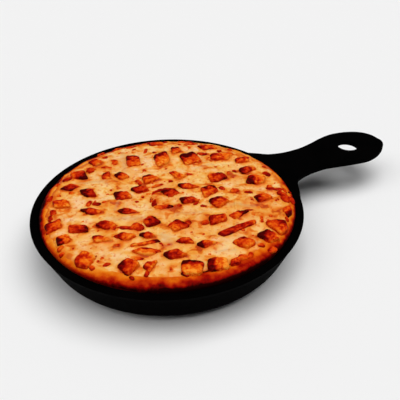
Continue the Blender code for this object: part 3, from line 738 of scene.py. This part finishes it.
def seasoned_cast_iron():
    """Sand-cast iron under a skin of baked-on oil: almost black, a dull sheen, and fine grains.

    The oil hides the bare metal, so that the shader isn't metallic. The grains are 0.7 mm.
    """
    material, tree, shader = new_material("seasoned_cast_iron", Specular_IOR_Level=0.005)
    where = add(tree, "ShaderNodeTexCoord").outputs["Object"]
    grain = add(tree, "ShaderNodeTexNoise", {"Vector": where, "Scale": 1400.0, "Detail": 3.0})
    cloud = add(tree, "ShaderNodeTexNoise", {"Vector": where, "Scale": 45.0, "Detail": 3.0})
    tint = add(
        tree, "ShaderNodeValToRGB", {"Fac": cloud.outputs["Fac"]},
        stops=((0.3, "010101"), (0.8, "040303")),
    )
    dull = add(
        tree, "ShaderNodeMapRange",
        {"Value": cloud.outputs["Fac"], "To Min": 0.55, "To Max": 0.75},
    )
    bump = add(
        tree, "ShaderNodeBump",
        {"Height": grain.outputs["Fac"], "Strength": 0.35, "Distance": 0.0002},
    )
    feed(tree, shader, Base_Color=tint.outputs["Color"], Roughness=dull.outputs["Result"],
         Normal=bump.outputs["Normal"])
    return material


def roast_chicken():
    """Roast chicken with a spiced glaze: orange meat, edges browned to almost black, fine fibres.

    Its near-black edges and dark side are partly browning and partly painted shade. The patches
    are 2 mm and the fibres 0.8 mm.
    """
    material, tree, shader = new_material("roast_chicken", IOR=1.35, Specular_IOR_Level=0.05)
    where = add(tree, "ShaderNodeTexCoord").outputs["Object"]
    # The roast attribute: browning and char, with painted shade on each piece's dark side and rim.
    roast_and_shade = add(tree, "ShaderNodeAttribute", attribute_name="roast_and_shade").outputs["Fac"]
    patch = add(tree, "ShaderNodeTexNoise", {"Vector": where, "Scale": 480.0, "Detail": 3.0})
    grain = add(tree, "ShaderNodeTexNoise", {"Vector": where, "Scale": 1300.0, "Detail": 3.0})
    swing = add(
        tree, "ShaderNodeMapRange",
        {"Value": patch.outputs["Fac"], "From Min": 0.3, "From Max": 0.7,
         "To Min": -0.13, "To Max": 0.13},
    )
    level = add(
        tree, "ShaderNodeMath", {0: roast_and_shade, 1: swing.outputs["Result"]}, operation="ADD"
    )
    colour = add(
        tree, "ShaderNodeValToRGB", {"Fac": level.outputs[0]},
        stops=((0.0, "F9962E"), (0.16, "EE6C0C"), (0.34, "DA4004"), (0.52, "B81A00"),
               (0.72, "8C0400"), (1.0, "480000")),
    )
    height = add(
        tree, "ShaderNodeMath", {0: patch.outputs["Fac"], 1: grain.outputs["Fac"]},
        operation="ADD",
    )
    bump = add(
        tree, "ShaderNodeBump",
        {"Height": height.outputs[0], "Strength": 0.5, "Distance": 0.0005},
    )
    dull = add(
        tree, "ShaderNodeMapRange",
        {"Value": patch.outputs["Fac"], "To Min": 0.36, "To Max": 0.62},
    )
    feed(tree, shader, Base_Color=colour.outputs["Color"], Roughness=dull.outputs["Result"],
         Normal=bump.outputs["Normal"])
    return material


def melted_cheese():
    """Baked mozzarella: pale gold, orange where it browned or fat ran out, dull in the creases.

    It turns deep orange at its edge, and orange-brown round the chicken, partly stain and partly
    painted shade. The crisped specks are 3 mm and the clouds of tint 17 mm.
    """
    material, tree, shader = new_material(
        "melted_cheese", IOR=1.45, Specular_IOR_Level=0.14, Subsurface_Weight=0.1,
        Subsurface_Radius=(0.0025, 0.0012, 0.0005), Subsurface_Scale=1.0,
    )
    where = add(tree, "ShaderNodeTexCoord").outputs["Object"]
    # The toast attribute: browning, stain, and painted shade round the chicken.
    toast_and_shade = add(tree, "ShaderNodeAttribute", attribute_name="toast_and_shade").outputs["Fac"]
    rim = add(tree, "ShaderNodeAttribute", attribute_name="rim").outputs["Fac"]
    crease = add(tree, "ShaderNodeAttribute", attribute_name="crease").outputs["Fac"]
    mottle = add(tree, "ShaderNodeTexNoise", {"Vector": where, "Scale": 300.0, "Detail": 3.0})
    swing = add(
        tree, "ShaderNodeMapRange",
        {"Value": mottle.outputs["Fac"], "From Min": 0.3, "From Max": 0.7,
         "To Min": -0.07, "To Max": 0.07},
    )
    level = add(tree, "ShaderNodeMath", {0: toast_and_shade, 1: swing.outputs["Result"]}, operation="ADD")
    baked = add(
        tree, "ShaderNodeValToRGB", {"Fac": level.outputs[0]},
        stops=((0.0, "F6CC92"), (0.2, "F3B96E"), (0.45, "ED9E42"), (0.7, "E57414"),
               (1.0, "BC3E04")),
    )
    speckle = add(tree, "ShaderNodeTexNoise", {"Vector": where, "Scale": 330.0, "Detail": 2.0})
    crisped = add(
        tree, "ShaderNodeMapRange",
        {"Value": speckle.outputs["Fac"], "From Min": 0.58, "From Max": 0.66, "To Max": 0.6},
    )
    speckled = add(
        tree, "ShaderNodeMix",
        {0: crisped.outputs["Result"], 6: baked.outputs["Color"], 7: srgb("DB5F12")},
        data_type="RGBA",
    )
    cloud = add(tree, "ShaderNodeTexNoise", {"Vector": where, "Scale": 60.0, "Detail": 3.0})
    tint = add(
        tree, "ShaderNodeValToRGB", {"Fac": cloud.outputs["Fac"]},
        stops=((0.38, "FFFEE6"), (0.62, "FDF6FA")),
    )
    tinted = add(
        tree, "ShaderNodeMix",
        {0: 1.0, 6: speckled.outputs[2], 7: tint.outputs["Color"]},
        data_type="RGBA", blend_type="MULTIPLY",
    )
    dulled = add(
        tree, "ShaderNodeMath", {0: crease, 1: 0.38}, operation="MULTIPLY"
    )
    creased = add(
        tree, "ShaderNodeMix",
        {0: dulled.outputs[0], 6: tinted.outputs[2], 7: srgb("CE9C6C")}, data_type="RGBA",
    )
    edge_colour = add(
        tree, "ShaderNodeValToRGB", {"Fac": rim},
        stops=((0.1, "EE9632"), (0.5, "E27214"), (1.0, "C84A06")),
    )
    edge_swing = add(
        tree, "ShaderNodeMath", {0: swing.outputs["Result"], 1: 2.0, 2: rim},
        operation="MULTIPLY_ADD", use_clamp=True,
    )
    edge_amount = add(
        tree, "ShaderNodeMapRange", {"Value": edge_swing.outputs[0], "From Min": 0.02,
                                     "From Max": 0.5},
    )
    finish = add(
        tree, "ShaderNodeMix",
        {0: edge_amount.outputs["Result"], 6: creased.outputs[2],
         7: edge_colour.outputs["Color"]},
        data_type="RGBA",
    )
    bump = add(
        tree, "ShaderNodeBump",
        {"Height": mottle.outputs["Fac"], "Strength": 0.2, "Distance": 0.0005},
    )
    dull = add(
        tree, "ShaderNodeMapRange",
        {"Value": mottle.outputs["Fac"], "To Min": 0.34, "To Max": 0.58},
    )
    feed(tree, shader, Base_Color=finish.outputs[2], Roughness=dull.outputs["Result"],
         Normal=bump.outputs["Normal"])
    return material


def baked_crust():
    """Bread crust baked against iron: golden orange on the lip, burnt where it meets the pan.

    That near black is partly burnt dough and partly painted shade. The mottling is 4 mm and the
    pores 0.9 mm.
    """
    material, tree, shader = new_material(
        "baked_crust", IOR=1.3, Specular_IOR_Level=0.04, Roughness=0.55
    )
    where = add(tree, "ShaderNodeTexCoord").outputs["Object"]
    # The bake attribute: baking, with painted shade where the crust meets the iron and under the
    # rim.
    bake_and_shade = add(tree, "ShaderNodeAttribute", attribute_name="bake_and_shade").outputs["Fac"]
    mottle = add(tree, "ShaderNodeTexNoise", {"Vector": where, "Scale": 260.0, "Detail": 4.0})
    pores = add(tree, "ShaderNodeTexNoise", {"Vector": where, "Scale": 1100.0, "Detail": 3.0})
    swing = add(
        tree, "ShaderNodeMapRange",
        {"Value": mottle.outputs["Fac"], "From Min": 0.25, "From Max": 0.75,
         "To Min": -0.11, "To Max": 0.11},
    )
    level = add(tree, "ShaderNodeMath", {0: bake_and_shade, 1: swing.outputs["Result"]}, operation="ADD")
    colour = add(
        tree, "ShaderNodeValToRGB", {"Fac": level.outputs[0]},
        stops=((0.0, "EEA644"), (0.2, "E88420"), (0.4, "DE680A"), (0.58, "C63B03"),
               (0.76, "9A0800"), (0.9, "5C0200"), (1.0, "240100")),
    )
    height = add(
        tree, "ShaderNodeMath", {0: mottle.outputs["Fac"], 1: pores.outputs["Fac"]},
        operation="ADD",
    )
    bump = add(
        tree, "ShaderNodeBump",
        {"Height": height.outputs[0], "Strength": 0.4, "Distance": 0.0005},
    )
    feed(tree, shader, Base_Color=colour.outputs["Color"], Normal=bump.outputs["Normal"])
    return material


def pale_floor():
    """Matt white paper sweep."""
    material, tree, shader = new_material("pale_floor", Specular_IOR_Level=0.0, Roughness=1.0)
    where = add(tree, "ShaderNodeTexCoord").outputs["Object"]
    tone = add(tree, "ShaderNodeTexNoise", {"Vector": where, "Scale": 2.0})
    colour = add(
        tree, "ShaderNodeValToRGB", {"Fac": tone.outputs["Fac"]},
        stops=((0.0, "F0F0F0"), (1.0, "F1F1F1")),
    )
    feed(tree, shader, Base_Color=colour.outputs["Color"])
    return material


# Pieces

def make_pan(iron):
    """The bowl and the handle, which has its hole cut out."""
    dress(closed_skin("pan_body", [pan_body_surface()]), iron, "cast_iron", "pan")
    handle = closed_skin("pan_handle", [handle_surface()])
    cutter = closed_skin("hole_cutter", [hole_cutter_surface()])
    dress(pierced(handle, cutter), iron, "cast_iron", "pan")


def make_pizza(dough, cheese):
    """The crust, and the sheet of cheese over it."""
    grid, bake_and_shade = crust_surface()
    crust = closed_skin("crust_dough", [grid], {"bake_and_shade": [bake_and_shade]})
    dress(crust, dough, "baked_crust", "crust")
    grid, toast_and_shade, rim, crease = cheese_surface()
    layers = {"toast_and_shade": [toast_and_shade], "rim": [rim], "crease": [crease]}
    sheet = closed_skin("cheese_melt", [grid], layers)
    dress(sheet, cheese, "melted_cheese", "cheese")


def make_chicken(meat):
    """Each large piece, between the lowest and the highest point of its solid."""
    for number, (*corners, browned, bearing, depth) in enumerate(PIECES):
        node = f"chicken_{number + 1:02d}"
        low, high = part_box(node)
        block = block_corners(corners, low[2] / MM, high[2] / MM)
        look = (browned, bearing, depth, 1.0)
        grid, roast_and_shade = chunk_surface(
            block, look, number, rows=40, columns=64, power=5.5, raggedness=0.6
        )
        piece = closed_skin("roast_" + node, [grid], {"roast_and_shade": [roast_and_shade]})
        dress(piece, meat, "roast_chicken", node)


def make_bits(meat):
    """The small bits, and crumbs strewn over the cheese, joined in one piece.

    A bit stands out 0.8 mm, and more the wider it is. Its seed and a crumb's follow the pieces'.
    """
    random = np.random.default_rng(5)
    grids, roasts_and_shade = [], []
    for number, (x, y, turn, length, width, browned) in enumerate(BITS):
        radius = math.hypot(x, y)
        on_cheese = radius < BED_RADIUS
        top = cheese_base(x, y) if on_cheese else crust_height(radius, math.atan2(y, x))
        corners = bit_corners(x, y, turn, length, width)
        block = block_corners(corners, top - BIT_SINK, top + 0.8 + 0.22 * width)
        look = (browned, 360.0 * random.uniform(), 0.5, 0.5)
        grid, roast_and_shade = chunk_surface(
            block, look, 100 + number, rows=16, columns=26, power=3.0, raggedness=0.6
        )
        grids.append(grid)
        roasts_and_shade.append(roast_and_shade)
    for number in range(CRUMBS):
        radius = CRUMB_REACH * math.sqrt(random.uniform(0, 1))
        bearing = random.uniform(0, 2 * math.pi)
        x, y = radius * math.cos(bearing), radius * math.sin(bearing)
        size = random.uniform(*CRUMB_SIZES)
        top = float(cheese_base(x, y))
        corners = bit_corners(x, y, random.uniform(0, 90), 1.4 * size, size)
        block = block_corners(corners, top - 0.8, top + 0.5)
        look = (random.uniform(0.1, 0.5), 0.0, 0.2, 0.3)
        grid, roast_and_shade = chunk_surface(
            block, look, 300 + number, rows=8, columns=10, power=3.0, raggedness=0.2
        )
        grids.append(grid)
        roasts_and_shade.append(roast_and_shade)
    bits = closed_skin("chicken_bits", grids, {"roast_and_shade": roasts_and_shade})
    dress(bits, meat, "roast_chicken")


# Stage

def make_floor():
    """A square of 12 m, 0.2 mm under the foot."""
    mesh = bpy.data.meshes.new("floor")
    corners = [(x, y, -0.0002) for x, y in ((-6.0, -6.0), (6.0, -6.0), (6.0, 6.0), (-6.0, 6.0))]
    mesh.from_pydata(corners, [], [(0, 1, 2, 3)])
    mesh.materials.append(pale_floor())
    floor = bpy.data.objects.new("floor", mesh)
    bpy.context.scene.collection.objects.link(floor)


def make_lamp(name, tilt, bearing, width, strength):
    """A softbox far away: tilt from overhead, bearing, angle that it fills, and strength."""
    light = bpy.data.lights.new(name, "SUN")
    light.angle = math.radians(width)
    light.energy = strength
    lamp = bpy.data.objects.new(name, light)
    t, b = math.radians(tilt), math.radians(bearing)
    way = Vector((math.sin(t) * math.cos(b), math.sin(t) * math.sin(b), math.cos(t)))
    lamp.rotation_euler = way.to_track_quat("Z", "Y").to_euler()
    bpy.context.scene.collection.objects.link(lamp)


def make_lights():
    """A broad lamp overhead, a weaker one from the left front, and a pale world behind.

    The camera sees the world at full strength, and everything else gets the fill strength.
    """
    make_lamp("overhead_softbox", *OVERHEAD_LAMP)
    make_lamp("front_softbox", *FRONT_LAMP)
    world = bpy.data.worlds.new("studio")
    world.use_nodes = True
    tree = world.node_tree
    seen = add(tree, "ShaderNodeLightPath").outputs["Is Camera Ray"]
    strength = add(
        tree, "ShaderNodeMath", {0: seen, 1: 1.0 - FILL_STRENGTH, 2: FILL_STRENGTH},
        operation="MULTIPLY_ADD",
    )
    background = tree.nodes["Background"]
    background.inputs["Color"].default_value = srgb("F2F2F2")
    tree.links.new(strength.outputs[0], background.inputs["Strength"])
    bpy.context.scene.world = world


def make_camera():
    """A camera that looks down from the front, level in its roll."""
    elevation = math.radians(CAMERA_ELEVATION)
    back = Vector((0.0, -math.cos(elevation), math.sin(elevation)))
    lens = bpy.data.cameras.new("camera")
    lens.sensor_width = SENSOR_WIDTH
    lens.lens = FOCAL_PIXELS / PHOTO_WIDTH * SENSOR_WIDTH
    lens.clip_start = 0.01
    camera = bpy.data.objects.new("camera", lens)
    camera.location = (Vector(CAMERA_TARGET) + back * CAMERA_DISTANCE) * MM
    camera.rotation_euler = back.to_track_quat("Z", "Y").to_euler()
    bpy.context.scene.collection.objects.link(camera)
    bpy.context.scene.camera = camera


make_camera()
make_lights()
make_floor()
make_pan(seasoned_cast_iron())
make_pizza(baked_crust(), melted_cheese())
MEAT = roast_chicken()
make_chicken(MEAT)
make_bits(MEAT)
bpy.context.scene.view_settings.view_transform = "Standard"
